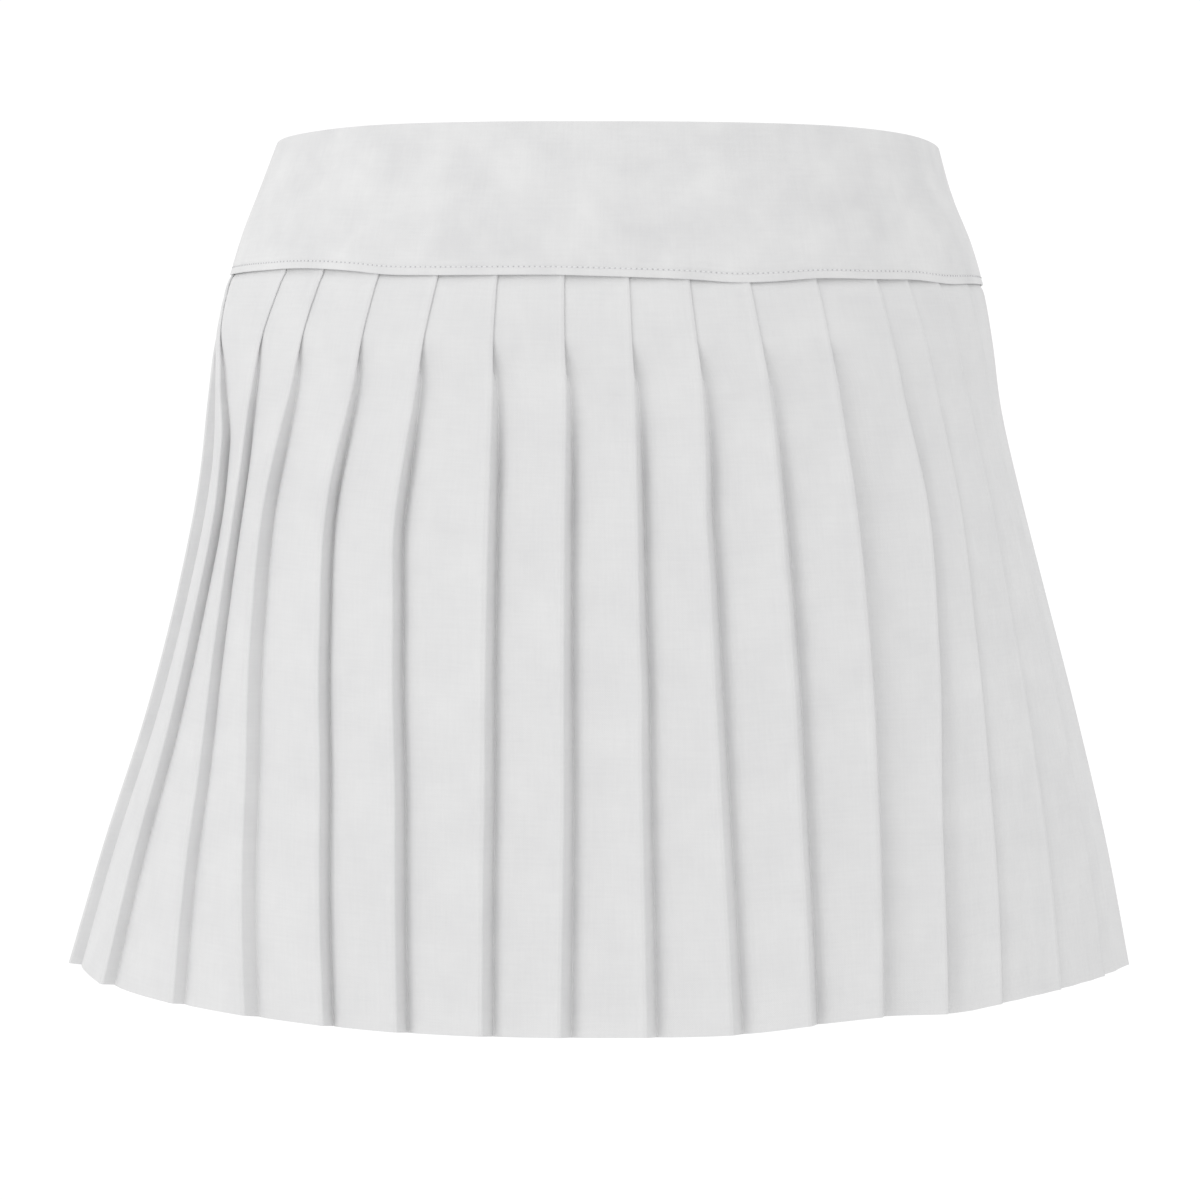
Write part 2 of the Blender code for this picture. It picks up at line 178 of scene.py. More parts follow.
# How far the yoke's lower edge rises above its even line, in millimetres, by angle
Rise = namedtuple("Rise", "degrees mm")
SEAM_RISE = (
    Rise(-90, 0.2), Rise(-75, 0.0), Rise(-62, 0.8), Rise(-47, 2.1), Rise(-38, 1.6), Rise(-31, 0.5),
    Rise(-24, 0.7), Rise(-16, 1.3), Rise(-5, 1.9), Rise(2, 1.5), Rise(10, 0.8), Rise(17, -0.3),
    Rise(22, 0.1), Rise(29, 1.4), Rise(41, 1.2), Rise(50, 1.0), Rise(59, -0.3), Rise(72, 0.2),
    Rise(90, 0.6), Rise(108, 0.1), Rise(125, 0.9), Rise(140, 0.3), Rise(158, 1.1), Rise(176, 0.5),
    Rise(190, 0.9), Rise(207, -0.1), Rise(222, 0.7), Rise(239, 0.2), Rise(255, 0.8), Rise(270, 0.2),
)

# The waist edge's height off its even line, in millimetres, by angle
WAIST_RISE = (
    Rise(-90, -0.6), Rise(-75, -0.2), Rise(-60, 0.1), Rise(-42, 0.6), Rise(-20, 0.3), Rise(0, 0.0),
    Rise(20, 0.1), Rise(42, 0.1), Rise(60, -0.8), Rise(75, -2.2), Rise(90, -3.4), Rise(120, -2.2),
    Rise(150, -0.8), Rise(180, 0.0), Rise(210, 0.2), Rise(240, -0.1), Rise(270, -0.6),
)

# The hem's height off its even line, in millimetres, by angle
HEM_RISE = (
    Rise(-90, 0.6), Rise(-75, 2.5), Rise(-62, 0.8), Rise(-50, 0.0), Rise(-35, -1.0), Rise(-19, -2.4),
    Rise(0, -2.6), Rise(12, -2.1), Rise(22, 0.8), Rise(28, 1.6), Rise(37, 0.2), Rise(45, 1.9),
    Rise(58, 3.3), Rise(74, 3.2), Rise(90, 0.8), Rise(112, 1.9), Rise(134, -0.6), Rise(156, -1.8),
    Rise(178, -2.2), Rise(201, -1.2), Rise(223, 0.9), Rise(247, 1.8), Rise(270, 0.6),
)

# Soft creases and swells of the yoke: troughs are deeper than 0. Width and length are to where they fade
Crease = namedtuple("Crease", "degrees height width_mm length_mm lean depth_mm")
YOKE_CREASES = (
    Crease(-58, -0.030, 9, 22, 0.25, 0.45),
    Crease(-40, -0.018, 14, 18, -0.30, -0.40),
    Crease(-33, -0.040, 7, 20, 0.10, 0.35),
    Crease(-19, -0.026, 12, 26, 0.20, 0.30),
    Crease(-9, -0.044, 6, 14, -0.10, 0.35),
    Crease(1, -0.020, 16, 22, 0.35, -0.35),
    Crease(8, -0.040, 6, 18, 0.15, 0.35),
    Crease(19, -0.030, 11, 24, -0.25, 0.40),
    Crease(31, -0.016, 13, 18, 0.20, -0.35),
    Crease(37, -0.042, 7, 18, -0.15, 0.40),
    Crease(52, -0.028, 10, 22, -0.30, 0.40),
    Crease(78, -0.030, 12, 24, 0.20, 0.35),
    Crease(101, -0.036, 9, 20, -0.20, 0.40),
    Crease(127, -0.022, 14, 22, 0.30, -0.40),
    Crease(143, -0.040, 7, 18, 0.10, 0.35),
    Crease(166, -0.028, 12, 26, -0.20, 0.40),
    Crease(184, -0.042, 6, 16, 0.15, 0.35),
    Crease(203, -0.020, 15, 20, 0.25, -0.35),
    Crease(221, -0.036, 9, 24, -0.15, 0.40),
    Crease(244, -0.026, 11, 20, 0.30, 0.35),
    Crease(262, -0.040, 8, 20, -0.20, 0.35),
)

# Broad swells of the pleated cloth below the stitching
PLEAT_CREASES = (
    Crease(-48, -0.150, 16, 40, 0.10, -0.6),
    Crease(-30, -0.230, 14, 60, 0.05, 0.6),
    Crease(-8, -0.170, 12, 45, 0.00, -0.5),
    Crease(7, -0.270, 15, 50, 0.05, 0.6),
    Crease(25, -0.200, 14, 60, -0.10, -0.6),
    Crease(48, -0.260, 16, 55, 0.05, 0.7),
    Crease(84, -0.190, 18, 60, 0.10, -0.7),
    Crease(112, -0.260, 15, 50, -0.05, 0.6),
    Crease(140, -0.180, 16, 55, 0.05, -0.6),
    Crease(172, -0.240, 14, 60, 0.00, 0.6),
    Crease(201, -0.170, 15, 45, 0.05, -0.6),
    Crease(230, -0.250, 16, 60, -0.05, 0.7),
    Crease(257, -0.200, 15, 50, 0.10, -0.6),
)

# Soft ridges down the panel before a fold: where across the panel, from what height to what height
Ridge = namedtuple("Ridge", "fold at top foot width_mm height_mm")
RIDGES = (
    Ridge(12, 0.52, -0.100, -0.400, 3.6, 1.05),
    Ridge(13, 0.36, -0.092, -0.400, 3.4, 1.10),
    Ridge(13, 0.71, -0.150, -0.400, 3.4, 0.80),
    Ridge(14, 0.35, -0.085, -0.400, 3.4, 1.00),
    Ridge(14, 0.70, -0.120, -0.400, 3.4, 0.90),
    Ridge(15, 0.44, -0.100, -0.400, 3.6, 0.95),
    Ridge(11, 0.30, -0.060, -0.180, 5.0, 0.40),
    Ridge(6, 0.58, -0.055, -0.135, 4.0, 0.35),
    Ridge(3, 0.55, -0.120, -0.300, 6.0, 0.30),
    Ridge(8, 0.62, -0.180, -0.400, 6.0, 0.30),
    Ridge(9, 0.30, -0.055, -0.130, 4.0, 0.35),
    Ridge(18, 0.55, -0.090, -0.330, 5.0, 0.45),
    Ridge(21, 0.40, -0.150, -0.400, 5.0, 0.40),
    Ridge(24, 0.60, -0.080, -0.300, 5.0, 0.45),
    Ridge(28, 0.35, -0.120, -0.400, 5.0, 0.40),
    Ridge(32, 0.55, -0.090, -0.400, 5.0, 0.50),
    Ridge(34, 0.45, -0.100, -0.400, 5.0, 0.60),
)

# Grid of one pleat and of the rows
BEND = np.array([0.0, 1.0, 2.0]) / 3  # a rounded corner's points; the next stretch starts at its end
PANEL = np.array([0.0, 0.05, 0.11, 0.18, 0.26, 0.35, 0.44, 0.53, 0.62, 0.71, 0.80, 0.88, 0.925, 0.955, 0.98])
RETURN = np.array([0.0, 0.5])
UPPER_ROWS = 42
LOWER_ROWS = 38


def through(knots, values, at):
    """A smooth curve through the rows: cubic pieces whose slope at a knot is that between its neighbours."""
    knots = np.asarray(knots, float)
    values = np.asarray(values, float)
    if knots[0] > knots[-1]:
        knots, values = knots[::-1], values[::-1]
    slopes = np.gradient(values, knots, axis=0)
    at = np.clip(np.asarray(at, float), knots[0], knots[-1])
    i = np.clip(np.searchsorted(knots, at, side="right") - 1, 0, len(knots) - 2)
    step = knots[i + 1] - knots[i]
    t = (at - knots[i]) / step
    start = (1 + 2 * t) * (1 - t) ** 2 * values[i] + t * (1 - t) ** 2 * step * slopes[i]
    return start + t * t * (3 - 2 * t) * values[i + 1] + t * t * (t - 1) * step * slopes[i + 1]


def ease(start, end, at):
    """0 before start, 1 after end, and a smooth step between them."""
    t = np.clip((np.asarray(at, float) - start) / (end - start), 0.0, 1.0)
    return t * t * (3 - 2 * t)


def bell(distance):
    """A soft hump of height 1 that has faded away at distance 2."""
    return np.exp(-(distance**2))


def outline(degrees, height):
    """The outside of the skirt in plan, at these angles and this height: four quarters of superellipses."""
    left, right, front, back = (
        float(through([row.height for row in SECTIONS], [getattr(row, side) for row in SECTIONS], height))
        for side in ("left", "right", "front", "back")
    )
    angle = np.radians(degrees)
    across, forward = np.sin(angle), np.cos(angle)
    power = 2.0 / SQUARENESS
    x = np.where(across > 0, right, left) * np.sign(across) * np.abs(across) ** power
    y = -np.where(forward > 0, front, back) * np.sign(forward) * np.abs(forward) ** power
    return np.stack([x, y], axis=-1)


class Girth:
    """The outline at one height, measured along its length from the front centre."""

    def __init__(self, height):
        self.degrees = np.linspace(-180.0, 360.0, 2161)
        points = outline(self.degrees, height)
        steps = np.linalg.norm(np.diff(points, axis=0), axis=1)
        lengths = np.concatenate([[0.0], np.cumsum(steps)])
        self.lengths = lengths - np.interp(0.0, self.degrees, lengths)
        along = np.gradient(points, self.lengths, axis=0)
        along /= np.linalg.norm(along, axis=1, keepdims=True)
        self.points = points
        self.inward = np.stack([-along[:, 1], along[:, 0]], axis=1)

    def length_at(self, degrees):
        return np.interp(degrees, self.degrees, self.lengths)

    def degrees_at(self, length):
        return np.interp(length, self.lengths, self.degrees)

    def place(self, length, depth):
        """The plan points that lie this far along the outline and this deep inside it."""
        point = np.stack([np.interp(length, self.lengths, self.points[:, k]) for k in (0, 1)], axis=-1)
        inward = np.stack([np.interp(length, self.lengths, self.inward[:, k]) for k in (0, 1)], axis=-1)
        inward /= np.linalg.norm(inward, axis=-1, keepdims=True)
        return point + inward * np.asarray(depth)[..., None]


def dip(degrees, front, back):
    """How far an edge is below its height on the hips: most at the front and back centres."""
    forward = np.cos(np.radians(degrees))
    return np.where(forward > 0, front, back) * forward**2


def rise(rows, degrees):
    """How far an edge lies above its even line at these angles."""
    wrapped = (np.asarray(degrees) + 90.0) % 360.0 - 90.0
    return through([row.degrees for row in rows], [row.mm for row in rows], wrapped) * MM


def yoke_height(degrees, height):
    """The yoke's rows turn from the waist edge's line to the seam's, which dips and leans."""
    share = height / SEAM_HEIGHT
    seam = -dip(degrees, SEAM_DIP_FRONT, SEAM_DIP_BACK) - SEAM_LEAN * np.sin(np.radians(degrees))
    return height + (1 - share) * rise(WAIST_RISE, degrees) + share * seam


def pleat_height(degrees, share):
    """The height of a row of the pleated cloth, between the seam's line and the hem's."""
    seam = yoke_height(degrees, SEAM_HEIGHT)
    hem = HEM_HEIGHT - dip(degrees, HEM_DIP_FRONT, HEM_DIP_BACK) + rise(HEM_RISE, degrees)
    return seam + (hem - seam) * share


def soft_creases(rows, degrees, height, radius):
    """How deep the cloth lies at these angles and heights: the sum of long soft bells, each one leaning."""
    turn = (np.asarray(degrees)[..., None] - [row.degrees for row in rows] + 180.0) % 360.0 - 180.0
    above = np.asarray(height)[..., None] - [row.height for row in rows]
    across = np.radians(turn) * radius - above * [row.lean for row in rows]
    humps = bell(across / ([row.width_mm for row in rows] * np.array(MM)))
    humps *= bell(above / ([row.length_mm for row in rows] * np.array(MM)))
    return (humps * [row.depth_mm for row in rows]).sum(axis=-1) * MM


def puckers(degrees):
    """How deep the cloth lies where the seam draws it in: two fine waves that come and go round the seam."""
    angle = np.radians(degrees)
    wave = np.sin(angle * 104.0 + 2.0 * np.sin(angle * 9.0)) + 0.7 * np.sin(angle * 163.0 + 1.7)
    return PUCKER * wave * (0.55 + 0.45 * np.sin(angle * 7.0 + 0.8))


def fold_lengths(girth, height):
    """Where every outer fold crosses this height, measured along the outline from the front centre."""
    table = [[fold[k] for fold in FRONT_FOLDS] for k in range(len(FOLD_HEIGHTS))]
    angles = through(FOLD_HEIGHTS, table, height)
    front = girth.length_at(angles)
    once_round = girth.length_at(270.0) - girth.length_at(-90.0)
    steps = np.arange(1, len(OTHER_FOLDS) + 1) / (len(OTHER_FOLDS) + 1)
    side = girth.length_at(SIDE_DEGREES)
    lower = (height - SEAM_HEIGHT) / (HEM_HEIGHT - SEAM_HEIGHT)
    wander = np.array([row.seam_off + (row.hem_off - row.seam_off) * lower for row in OTHER_FOLDS]) * MM
    others = front[-1] + (side + once_round - front[-1]) * steps + (front[0] - side) * steps**4 + wander
    lengths = np.concatenate([front, others])
    for kink in KINKS:
        lengths[kink.fold] += kink.aside_mm * MM * bell((height - kink.height) / (kink.reach_mm * MM))
    return lengths, once_round


def run_of_folds(first, count, girth, height):
    """The lengths at which a run of outer folds lies, going on past the end of the table round the skirt."""
    lengths, once_round = fold_lengths(girth, height)
    index = np.arange(first, first + count)
    return lengths[index % PLEATS] + once_round * (index // PLEATS)


def run_of(column, first, count):
    """One column of both fold tables for a run of pleats."""
    rows = FRONT_FOLDS + OTHER_FOLDS
    return np.array([getattr(rows[k % PLEATS], column) for k in range(first, first + count)], float)


def rounded(before, corner, after, reach, at):
    """Points of the arc that cuts a corner, from reach before it to reach after it, as a quadratic curve."""
    start = corner + reach * (before - corner) / np.linalg.norm(before - corner, axis=1, keepdims=True)
    end = corner + reach * (after - corner) / np.linalg.norm(after - corner, axis=1, keepdims=True)
    t = at[None, :, None]
    return (1 - t) ** 2 * start[:, None] + 2 * t * (1 - t) * corner[:, None] + t * t * end[:, None]


def straight(start, end, at):
    return start[:, None] + (end - start)[:, None] * at[None, :, None]


def ridges(first, count, height, spacing):
    """How proud the panels of a run of pleats stand along their soft ridges, on the row at this height."""
    proud = np.zeros((count, len(PANEL)))
    for row in RIDGES:
        k = (row.fold - first) % PLEATS
        if k < count:
            fade_in = ease(-row.top, RIDGE_FADE - row.top, -height)
            fade_out = 1 - ease(-RIDGE_FADE - row.foot, -row.foot, -height)
            across = (PANEL - row.at) * spacing[k] / (row.width_mm * MM)
            proud[k] += row.height_mm * MM * (fade_in * fade_out) * bell(across)
    return proud


def pleat_corners(first, count, girth, height, share):
    """The corners of a run of pleats on one row, as points (length, depth).

    A return of the fold's width turns by its swing, from flat under the panel (180) towards pointing
    ahead (0). Each fold has two corners, a layer's step apart, that turn half of the swing each.
    """
    outer = run_of_folds(first, count, girth, height)
    grown = SEWN_RETURN + (1 - SEWN_RETURN) * ease(SEWN_SHARE, GROWN_SHARE, share)
    back = run_of("back", first, count) * MM * grown
    opened, at_hem = run_of("open", first, count), run_of("swing", first, count)
    released = ease(SEWN_SHARE, RELEASED_SHARE, share)
    settled = ease(RELEASED_SHARE, 1.0, share)
    swing = SEWN_SWING + (opened - SEWN_SWING) * released + (at_hem - opened) * settled
    spacing = np.gradient(outer)
    layer = SEWN_STEP + (LAYER_STEP - SEWN_STEP) * released
    slope = (1 - released) * 2 * layer / spacing
    turn, half_turn = np.radians(swing) - slope, np.radians(swing / 2) - slope
    step = layer * np.stack([np.cos(half_turn), np.sin(half_turn)], axis=1)
    fold = np.stack([outer, np.zeros(count)], axis=1)
    turned = fold + step
    end = turned + back[:, None] * np.stack([np.cos(turn), np.sin(turn)], axis=1)
    return fold, turned, end, end + step


def pleat_line(first, count, share):
    """The middle of the cloth on one row of a run of pleats, in plan, and the angles of its points.

    Along each pleat: the inner fold's second corner, the hollow panel, the outer fold's two corners, the
    return, and the next inner fold's first corner. The hollow is t*t*(1-t), deepest two thirds of the way
    to the outer fold, so the panel lifts towards that fold. A narrow bell just before the fold stands
    proud as its pressed edge, most where the pleat is sewn down.
    """
    height = SEAM_HEIGHT + (HEM_HEIGHT - SEAM_HEIGHT) * share
    girth = Girth(height)
    fold, turned, end, start = pleat_corners(first - 1, count + 2, girth, height, share)
    reach = SEWN_STEP / 2
    inner = rounded(end[:-2], start[:-2], fold[1:-1], reach, BEND)
    outer = rounded(start[:-2], fold[1:-1], turned[1:-1], reach, BEND)
    under = rounded(fold[1:-1], turned[1:-1], end[1:-1], reach, BEND)
    heel = rounded(turned[1:-1], end[1:-1], start[1:-1], reach, BEND)
    panel_start = rounded(end[:-2], start[:-2], fold[1:-1], reach, np.ones(1))[:, 0]
    return_start = rounded(fold[1:-1], turned[1:-1], end[1:-1], reach, np.ones(1))[:, 0]
    panel = straight(panel_start, outer[:, 0], PANEL)
    released = ease(SEWN_SHARE, GROWN_SHARE, share)
    climb = (1 - PANEL) - np.maximum(1 - PANEL / CLIMB_REACH, 0.0) ** 2
    climbed = run_of("climb", first, count) * released * panel_start[:, 1]
    panel[:, :, 1] += HOLLOW_SCALE * HOLLOW * released * PANEL**2 * (1 - PANEL) - climbed[:, None] * climb
    panel[:, :, 1] -= ridges(first, count, height, spacing=outer[:, 0, 0] - panel_start[:, 0])
    before_fold = outer[:, :1, 0] - panel[:, :, 0]
    edge = SEWN_EDGE + (OPEN_EDGE - SEWN_EDGE) * released
    panel[:, :, 1] -= edge * bell((before_fold - EDGE_BACK) / EDGE_WIDTH)
    back = straight(return_start, heel[:, 0], RETURN)
    line = np.concatenate([inner, panel, outer, under, back, heel], axis=1).reshape(-1, 2)
    degrees = girth.degrees_at(line[:, 0])
    level = pleat_height(degrees, share)
    tuck = CLOTH / 2 + UNDER_YOKE * (1 - ease(0.0, TUCK_SHARE, share))
    swell = soft_creases(PLEAT_CREASES, degrees, level, SECTIONS[5].right)
    swell = swell * ease(SEWN_SHARE, SWELL_SHARE, share)
    faded = 1 - ease(PUCKER_SHARE, PUCKER_END_SHARE, share)
    swell += puckers(degrees) * ease(0.0, PUCKER_SHARE, share) * faded
    level = level - HEM_DROP * line[:, 1] * ease(DROP_SHARE, 1.0, share)
    return girth.place(line[:, 0], line[:, 1] + tuck + swell), level


def mitres(line):
    """At each point, the vector that shifts both of its edges outwards by one unit."""
    edges = np.diff(line, axis=0)
    edges /= np.linalg.norm(edges, axis=1, keepdims=True)
    normals = np.stack([edges[:, 1], -edges[:, 0]], axis=1)
    before = np.concatenate([normals[:1], normals])
    after = np.concatenate([normals, normals[-1:]])
    opening = 1 + (before * after).sum(axis=1, keepdims=True)
    return (before + after) / np.maximum(opening, 1.0)


def closed_strip(name, loops, chart, material):
    """A solid carried through loops: loops[i] is a closed loop of points, the first and last are capped.

    chart holds each point's place on the flat cloth, in metres, and becomes the UV map.
    """
    count, size = loops.shape[:2]
    index = np.arange(count * size).reshape(count, size)
    here, there = index[:-1], index[1:]
    sides = np.stack([here, there, np.roll(there, -1, axis=1), np.roll(here, -1, axis=1)], axis=-1)
    rungs = [[k, k + 1, size - 2 - k, size - 1 - k] for k in range(size // 2 - 1)]
    if size % 2:
        rungs.append([size // 2 - 1, size // 2, size // 2 + 1])
    caps = [index[0][rung].tolist() for rung in rungs] + [index[-1][rung[::-1]].tolist() for rung in rungs]
    return make_piece(name, loops.reshape(-1, 3), sides.reshape(-1, 4).tolist() + caps, material, chart)


def make_piece(name, points, faces, material, chart=None):
    """A smooth-shaded object at the origin from points and faces, with its chart as a UV map."""
    mesh = bpy.data.meshes.new(name)
    mesh.from_pydata(points.tolist(), [], faces)
    if chart is not None:
        corners = np.empty(len(mesh.loops), np.int32)
        mesh.loops.foreach_get("vertex_index", corners)
        layer = mesh.uv_layers.new(name="flat_cloth")
        layer.uv.foreach_set("vector", chart.reshape(-1, 2)[corners].astype(np.float32).ravel())
    mesh.materials.append(material)
    mesh.shade_smooth()
    mesh.set_sharp_from_angle(angle=math.radians(SHARP_DEGREES))
    mesh.validate()
    piece = bpy.data.objects.new(name, mesh)
    bpy.context.scene.collection.objects.link(piece)
    return piece


def row_shares():
    """Shares of the rows: close together where the folds open, wider below."""
    top = -UNDERLAP / (SEAM_HEIGHT - HEM_HEIGHT)
    upper = np.linspace(top, FINE_SHARE, UPPER_ROWS)
    lower = np.linspace(FINE_SHARE, 1.0, LOWER_ROWS)
    return np.concatenate([upper[:-1], lower])


def pleated_panel(name, first, count, material):
    """A thin wall of cloth round the pleated lines of all rows: up on its outside, down on its inside."""
    outside, inside = [], []
    for share in row_shares():
        line, level = pleat_line(first, count, share)
        shift = mitres(line) * CLOTH / 2
        outside.append(np.hstack([line + shift, level[:, None]]))
        inside.append(np.hstack([line - shift, level[:, None]]))
    rows = np.concatenate([np.array(outside)[::-1], np.array(inside)])
    middle = pleat_line(first, count, 0.5)[0]
    along = np.concatenate([[0.0], np.cumsum(np.linalg.norm(np.diff(middle, axis=0), axis=1))])
    down = row_shares() * (SEAM_HEIGHT - HEM_HEIGHT)
    down = np.concatenate([down[::-1], down])
    chart = np.stack(np.broadcast_arrays(along[:, None], down[None, :]), axis=-1)
    return closed_strip(name, rows.transpose(1, 0, 2), chart, material)


# The yoke
YOKE_COLUMNS = 400
FINE_BAND = 7 * MM  # the rows lie closer together up to here above the lower edge
TOP_BAND = 2 * MM  # from the last even row up to the rolled top
SIDE_GAP = 0.01 * MM  # between the two yokes at a side seam
STITCH_UP = 3.2 * MM  # the stitch row above the yoke's lower edge
GROOVE = 0.22 * MM  # how deep the stitch row pulls the cloth in
GROOVE_WIDTH = 0.8 * MM
PUCKER = 0.13 * MM
PUCKER_FADE = 7.0 * MM


def yoke_depth(degrees, height):
    """How deep the yoke's outside lies: soft creases, the stitch row's groove and the puckers over it."""
    above = height - SEAM_HEIGHT
    groove = GROOVE * bell((above - STITCH_UP) / GROOVE_WIDTH)
    drawn = puckers(degrees) * bell((above - STITCH_UP) / PUCKER_FADE)
    fade = ease(0.0, 6 * MM, -height)
    return groove + drawn + fade * soft_creases(YOKE_CREASES, degrees, height, SECTIONS[2].right)


def yoke_level(degrees, height):
    """The height of the yoke's rows: the lower edge's uneven rise fades out upwards."""
    return yoke_height(degrees, height) + rise(SEAM_RISE, degrees) * (height / SEAM_HEIGHT) ** 2


def yoke_profile():
    """Rows of the yoke as (height, depth): up the outside, over the rolled top, and down the inside."""
    roll = YOKE_CLOTH / 2
    fine = SEAM_HEIGHT + np.linspace(YOKE_EDGE, FINE_BAND, 20)
    rest = np.linspace(SEAM_HEIGHT + FINE_BAND, -TOP_BAND, 30)[1:]
    outside = [(height, 0.0) for height in np.concatenate([fine, rest])]
    top = [(-roll * (1 - math.sin(a)), roll * (1 - math.cos(a))) for a in np.linspace(0, math.pi, 9)]
    inside = [(height, YOKE_CLOTH) for height in np.linspace(-TOP_BAND, SEAM_HEIGHT + YOKE_EDGE, 16)]
    low = [
        (SEAM_HEIGHT + YOKE_EDGE * (1 - math.sin(a)), roll + roll * math.cos(a))
        for a in np.linspace(0, math.pi, 7)[1:-1]
    ]
    return outside + top + inside + low


def yoke_panel(name, start, end, material):
    """Half of the yoke between two side seams, with a rolled top edge and a turned lower one."""
    gap = math.degrees(SIDE_GAP / SECTIONS[0].front)
    degrees = np.linspace(start + gap, end - gap, YOKE_COLUMNS)
    columns = []
    profile = yoke_profile()
    for height, depth in profile:
        girth = Girth(height)
        pressed = yoke_depth(degrees, height)
        plan = girth.place(girth.length_at(degrees), depth + pressed)
        columns.append(np.hstack([plan, yoke_level(degrees, height)[:, None]]))
    heights = np.array([row[0] for row in profile])
    middle = Girth(SEAM_HEIGHT / 2)
    chart = np.stack(np.broadcast_arrays(middle.length_at(degrees)[:, None], heights[None, :]), axis=-1)
    return closed_strip(name, np.array(columns).transpose(1, 0, 2), chart, material)


# Stitches
STITCH_PITCH = 2.1 * MM
STITCH_LENGTH = 1.55 * MM
THREAD = 0.46 * MM
HOLE_SHADE_SIZE = 0.62 * MM  # size of the grey bead of painted shade that stands for the dark inside of the needle's hole at each end of a stitch


def stitches(name, centres, along, outward, length, thickness, material):
    """Short beads joined in one mesh: each is a lens of six-sided rings that sinks in at its ends."""
    rings, sides = np.array([-1.0, -0.8, -0.35, 0.35, 0.8, 1.0]), 6
    radius = thickness / 2 * np.array([0.35, 0.8, 1.0, 1.0, 0.8, 0.35])
    sink = thickness * (0.1 - 0.75 * rings**4)
    angle = 2 * math.pi * np.arange(sides) / sides
    across = np.cross(outward, along)
    ring = np.stack(np.meshgrid(np.arange(len(rings)), np.arange(sides), indexing="ij"), -1).reshape(-1, 2)
    k, s = ring[:, 0], ring[:, 1]
    points = (
        centres[:, None]
        + along[:, None] * (rings[k] * length / 2)[None, :, None]
        + across[:, None] * (radius[k] * np.cos(angle[s]))[None, :, None]
        + outward[:, None] * (radius[k] * np.sin(angle[s]) + sink[k])[None, :, None]
    )
    index = np.arange(len(rings) * sides).reshape(len(rings), sides)
    here, there = index[:-1], index[1:]
    quads = np.stack([here, np.roll(here, -1, 1), np.roll(there, -1, 1), there], axis=-1).reshape(-1, 4)
    ends = [index[0][::-1].tolist(), index[-1].tolist()]
    size = len(rings) * sides
    faces = (quads[None] + size * np.arange(len(centres))[:, None, None]).reshape(-1, 4).tolist()
    faces += [[v + size * n for v in end] for n in range(len(centres)) for end in ends]
    return make_piece(name, points.reshape(-1, 3), faces, material)


def yoke_surface(degrees, height):
    """Points on the outside of the yoke at these angles, and the outward direction there."""
    girth = Girth(height)
    length = girth.length_at(degrees)
    depth = yoke_depth(degrees, height)
    level = yoke_level(degrees, height)[:, None]
    points = np.hstack([girth.place(length, depth), level])
    outward = np.hstack([girth.place(length, depth - 1.0), level]) - points
    return points, outward / np.linalg.norm(outward, axis=1, keepdims=True)


def topstitch(name, start, end, length, thickness, material, offset=0.5):
    """A row of beads just above the yoke's lower edge, one to each stitch pitch."""
    girth = Girth(SEAM_HEIGHT + STITCH_UP)
    first, last = girth.length_at(start), girth.length_at(end)
    count = int((last - first - 2 * MM) / STITCH_PITCH)
    places = first + MM + STITCH_PITCH * (np.arange(count) + offset)
    degrees = girth.degrees_at(places)
    centres, outward = yoke_surface(degrees, SEAM_HEIGHT + STITCH_UP)
    before = yoke_surface(girth.degrees_at(places - 0.5 * MM), SEAM_HEIGHT + STITCH_UP)[0]
    after = yoke_surface(girth.degrees_at(places + 0.5 * MM), SEAM_HEIGHT + STITCH_UP)[0]
    along = after - before
    along /= np.linalg.norm(along, axis=1, keepdims=True)
    return stitches(name, centres, along, outward, length, thickness, material)


# Materials
WHITE = (0.78, 0.78, 0.78)
# The darker white: where the weave's yarn tone is low, and in the painted shade of the soft patches
TONE_AND_SHADE_WHITE = (0.70, 0.70, 0.705)
YARN_PITCH = 0.36 * MM


def group_with(name, inputs, outputs):
    """An empty node group with named inputs (kind, name, value) and outputs (kind, name)."""
    group = bpy.data.node_groups.new(name, "ShaderNodeTree")
    for kind, label, value in inputs:
        socket = group.interface.new_socket(label, in_out="INPUT", socket_type=kind)
        if value is not None:
            socket.default_value = value
    for kind, label in outputs:
        group.interface.new_socket(label, in_out="OUTPUT", socket_type=kind)
    return group, group.nodes.new("NodeGroupInput"), group.nodes.new("NodeGroupOutput")


def material_with_shader(name):
    """A new material, its node tree and its Principled BSDF."""
    material = bpy.data.materials.new(name)
    material.use_nodes = True
    return material, material.node_tree, material.node_tree.nodes["Principled BSDF"]


def colour_between(tree, factor, first, second, shader):
    """The shader's base colour goes from the first to the second as the factor grows."""
    colour = tree.nodes.new("ShaderNodeMix")
    colour.data_type = "RGBA"
    colour.inputs["A"].default_value = (*first, 1.0)
    colour.inputs["B"].default_value = (*second, 1.0)
    tree.links.new(factor, colour.inputs["Factor"])
    tree.links.new(colour.outputs["Result"], shader.inputs["Base Color"])


def math_node(tree, operation, first, second=None, third=None):
    """A Math node whose inputs are sockets or numbers."""
    node = tree.nodes.new("ShaderNodeMath")
    node.operation = operation
    for socket, value in zip(node.inputs, (first, second, third)):
        if isinstance(value, bpy.types.NodeSocket):
            tree.links.new(value, socket)
        elif value is not None:
            socket.default_value = value
    return node.outputs[0]


def noise_node(tree, vector, scale, detail, roughness=0.5):
    node = tree.nodes.new("ShaderNodeTexNoise")
    node.inputs["Scale"].default_value = scale
    node.inputs["Detail"].default_value = detail
    node.inputs["Roughness"].default_value = roughness
    tree.links.new(vector, node.inputs["Vector"])
    return node.outputs["Fac"]


def stretched(tree, vector, along, across):
    node = tree.nodes.new("ShaderNodeMapping")
    node.inputs["Scale"].default_value = (along, across, 1.0)
    tree.links.new(vector, node.inputs["Vector"])
    return node.outputs["Vector"]


